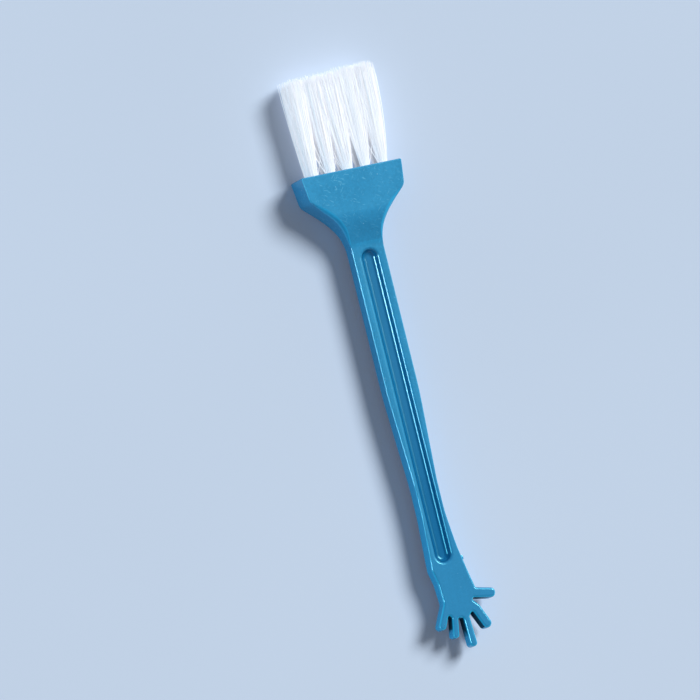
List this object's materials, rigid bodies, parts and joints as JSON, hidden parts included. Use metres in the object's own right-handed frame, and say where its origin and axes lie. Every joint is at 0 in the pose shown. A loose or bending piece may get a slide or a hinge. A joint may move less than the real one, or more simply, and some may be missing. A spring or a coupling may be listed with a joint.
{
  "type": "book cleaning brush",
  "caption": "Small flat cleaning brush: bell-shaped head with two rows of white bristle tufts, slim recessed handle ending in an open hand.",
  "frame": {"origin": "under the middle of the brush's bounding box, on the surface that it lies on", "axes": "+X across the brush towards the thumb's side, +Y along it towards the bristles, +Z out of its front face"},
  "size_m": [0.031, 0.1704, 0.0097],
  "materials": {
    "handle_plastic": "satin blue moulded polypropylene with glossy edges",
    "bristle_nylon": "white, slightly translucent nylon filament",
    "anchor_wire": "drawn flat wire"
  },
  "bodies": {
    "root": {"handle": "handle_plastic", "tuft_front_1": "bristle_nylon", "tuft_front_2": "bristle_nylon", "tuft_front_3": "bristle_nylon", "tuft_front_4": "bristle_nylon", "tuft_front_5": "bristle_nylon", "tuft_back_1": "bristle_nylon", "tuft_back_2": "bristle_nylon", "tuft_back_3": "bristle_nylon", "tuft_back_4": "bristle_nylon", "tuft_back_5": "bristle_nylon", "anchor_front_1": "anchor_wire", "anchor_front_2": "anchor_wire", "anchor_front_3": "anchor_wire", "anchor_front_4": "anchor_wire", "anchor_front_5": "anchor_wire", "anchor_back_1": "anchor_wire", "anchor_back_2": "anchor_wire", "anchor_back_3": "anchor_wire", "anchor_back_4": "anchor_wire", "anchor_back_5": "anchor_wire"}
  },
  "joints": []
}
